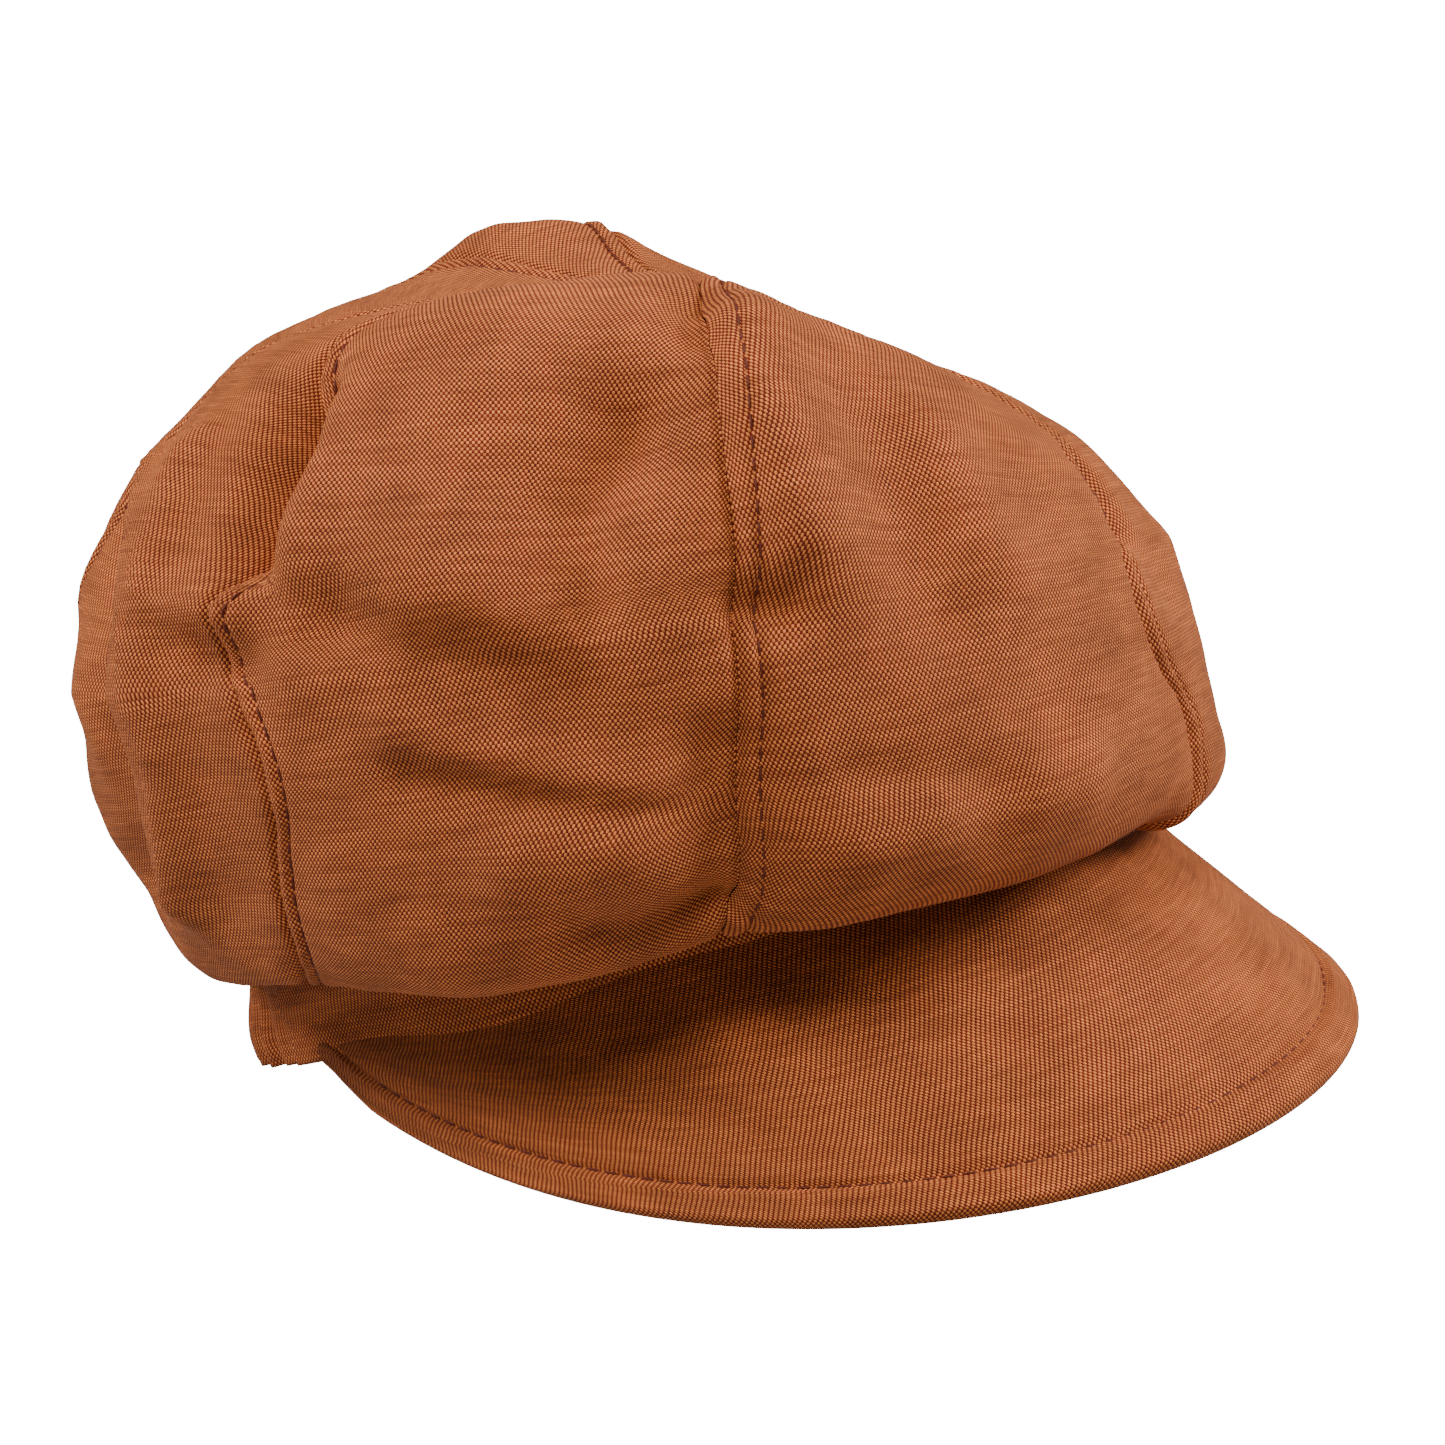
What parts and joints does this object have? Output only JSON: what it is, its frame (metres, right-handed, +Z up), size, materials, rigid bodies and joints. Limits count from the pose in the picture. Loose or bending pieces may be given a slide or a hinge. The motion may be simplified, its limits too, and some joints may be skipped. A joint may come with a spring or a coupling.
{
  "type": "newsboy cap",
  "caption": "Soft newsboy cap: a full crown of sewn linen panels slumped over a gathered head band, with a stiff, down-curved, edge-stitched brim.",
  "frame": {"origin": "on the floor, under the middle of the cap's bounding box, the cap standing on the brim's edge and the back of its band", "axes": "+Z up, -Y towards the brim, +X towards the wearer's left"},
  "size_m": [0.218, 0.266, 0.158],
  "materials": {
    "linen": "plain-weave linen, rust warp and orange weft, slubbed",
    "lining_cotton": "plain fine cotton, matt",
    "sweatband_ribbon": "ribbed ribbon, matt",
    "brim_board": "smooth flexible board",
    "elastic": "woven flat elastic",
    "thread": "spun sewing thread"
  },
  "bodies": {
    "root": {"crown_panel_front_right": "linen", "crown_panel_right_front": "linen", "crown_panel_right_back": "linen", "crown_panel_back_right": "linen", "crown_panel_back_left": "linen", "crown_panel_left_back": "linen", "crown_panel_left_front": "linen", "crown_panel_front_left": "linen", "lining_panel_front_right": "lining_cotton", "lining_panel_right_front": "lining_cotton", "lining_panel_right_back": "lining_cotton", "lining_panel_back_right": "lining_cotton", "lining_panel_back_left": "lining_cotton", "lining_panel_left_back": "lining_cotton", "lining_panel_left_front": "lining_cotton", "lining_panel_front_left": "lining_cotton", "crown_topstitch_1": "thread", "crown_topstitch_2": "thread", "crown_topstitch_3": "thread", "crown_topstitch_4": "thread", "crown_topstitch_5": "thread", "crown_topstitch_6": "thread", "crown_topstitch_7": "thread", "crown_topstitch_8": "thread", "band_front": "linen", "band_back": "linen", "back_elastic": "elastic", "sweatband": "sweatband_ribbon", "brim_upper_cover": "linen", "brim_board": "brim_board", "brim_lower_cover": "linen", "brim_topstitch": "thread"}
  },
  "joints": []
}
